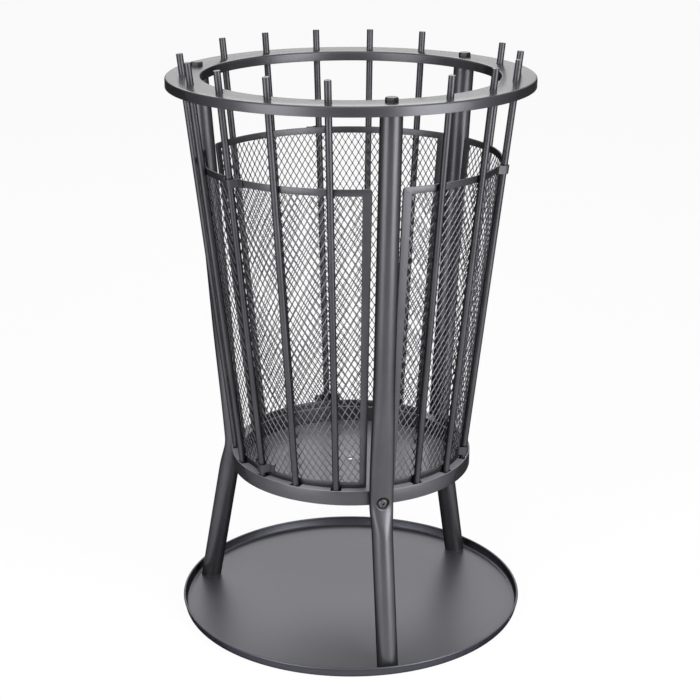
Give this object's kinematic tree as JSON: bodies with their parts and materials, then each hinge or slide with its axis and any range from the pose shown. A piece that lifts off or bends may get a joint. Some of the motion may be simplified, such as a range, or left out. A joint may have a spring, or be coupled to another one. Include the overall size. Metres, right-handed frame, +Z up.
{
  "type": "fire basket",
  "caption": "Round open fire basket: upright bars in a pressed top ring on bent tube legs, with curved mesh panels that slide up, a lift-out floor and a loose ash tray below.",
  "frame": {"origin": "middle of the ash tray's underside, on the ground", "axes": "+Z up along the basket's axis; -Y from the axis to the front leg"},
  "size_m": [0.43, 0.43, 0.6949],
  "materials": {
    "anthracite_paint": "satin heat-resistant paint",
    "black_plastic": "moulded, matte",
    "dark_screw_steel": "blackened, worn bright on the edges",
    "zinc_steel": "zinc plated"
  },
  "bodies": {
    "ash_tray": {"base_tray": "anthracite_paint"},
    "stand": {"bar_01": "anthracite_paint", "bar_02": "anthracite_paint", "bar_03": "anthracite_paint", "bar_04": "anthracite_paint", "bar_05": "anthracite_paint", "bar_06": "anthracite_paint", "bar_07": "anthracite_paint", "bar_08": "anthracite_paint", "bar_09": "anthracite_paint", "bar_10": "anthracite_paint", "bar_11": "anthracite_paint", "bar_12": "anthracite_paint", "bar_13": "anthracite_paint", "bar_14": "anthracite_paint", "bar_15": "anthracite_paint", "bottom_ring": "anthracite_paint", "foot_cap_front": "black_plastic", "foot_cap_left": "black_plastic", "foot_cap_right": "black_plastic", "leg_front": "anthracite_paint", "leg_left": "anthracite_paint", "leg_nut_front": "zinc_steel", "leg_nut_left": "zinc_steel", "leg_nut_right": "zinc_steel", "leg_plug_front": "zinc_steel", "leg_plug_left": "zinc_steel", "leg_plug_right": "zinc_steel", "leg_right": "anthracite_paint", "leg_screw_front": "dark_screw_steel", "leg_screw_left": "dark_screw_steel", "leg_screw_right": "dark_screw_steel", "top_bolt_front": "anthracite_paint", "top_bolt_left": "anthracite_paint", "top_bolt_right": "anthracite_paint", "top_ring": "anthracite_paint"},
    "floor": {"floor_plate": "anthracite_paint"},
    "panel_right": {"panel_frame_right": "anthracite_paint", "panel_mesh_right": "anthracite_paint", "panel_clip_top_right": "anthracite_paint", "panel_clip_low_right": "anthracite_paint"},
    "panel_back": {"panel_frame_back": "anthracite_paint", "panel_mesh_back": "anthracite_paint", "panel_clip_top_back": "anthracite_paint", "panel_clip_low_back": "anthracite_paint"},
    "panel_left": {"panel_frame_left": "anthracite_paint", "panel_mesh_left": "anthracite_paint", "panel_clip_top_left": "anthracite_paint", "panel_clip_low_left": "anthracite_paint"}
  },
  "joints": [
    {"name": "stand_lift", "type": "slide", "parent": "ash_tray", "child": "stand", "axis": [0, 0, 1], "range_m": [0, 0.15]},
    {"name": "floor_lift", "type": "slide", "parent": "stand", "child": "floor", "axis": [0, 0, 1], "range_m": [0, 0.52]},
    {"name": "panel_slide_right", "type": "slide", "parent": "stand", "child": "panel_right", "axis": [0.0968, -0.0559, 0.9937], "range_m": [0, 0.07]},
    {"name": "panel_slide_back", "type": "slide", "parent": "stand", "child": "panel_back", "axis": [0, 0.1118, 0.9937], "range_m": [0, 0.07]},
    {"name": "panel_slide_left", "type": "slide", "parent": "stand", "child": "panel_left", "axis": [-0.0968, -0.0559, 0.9937], "range_m": [0, 0.07]}
  ]
}
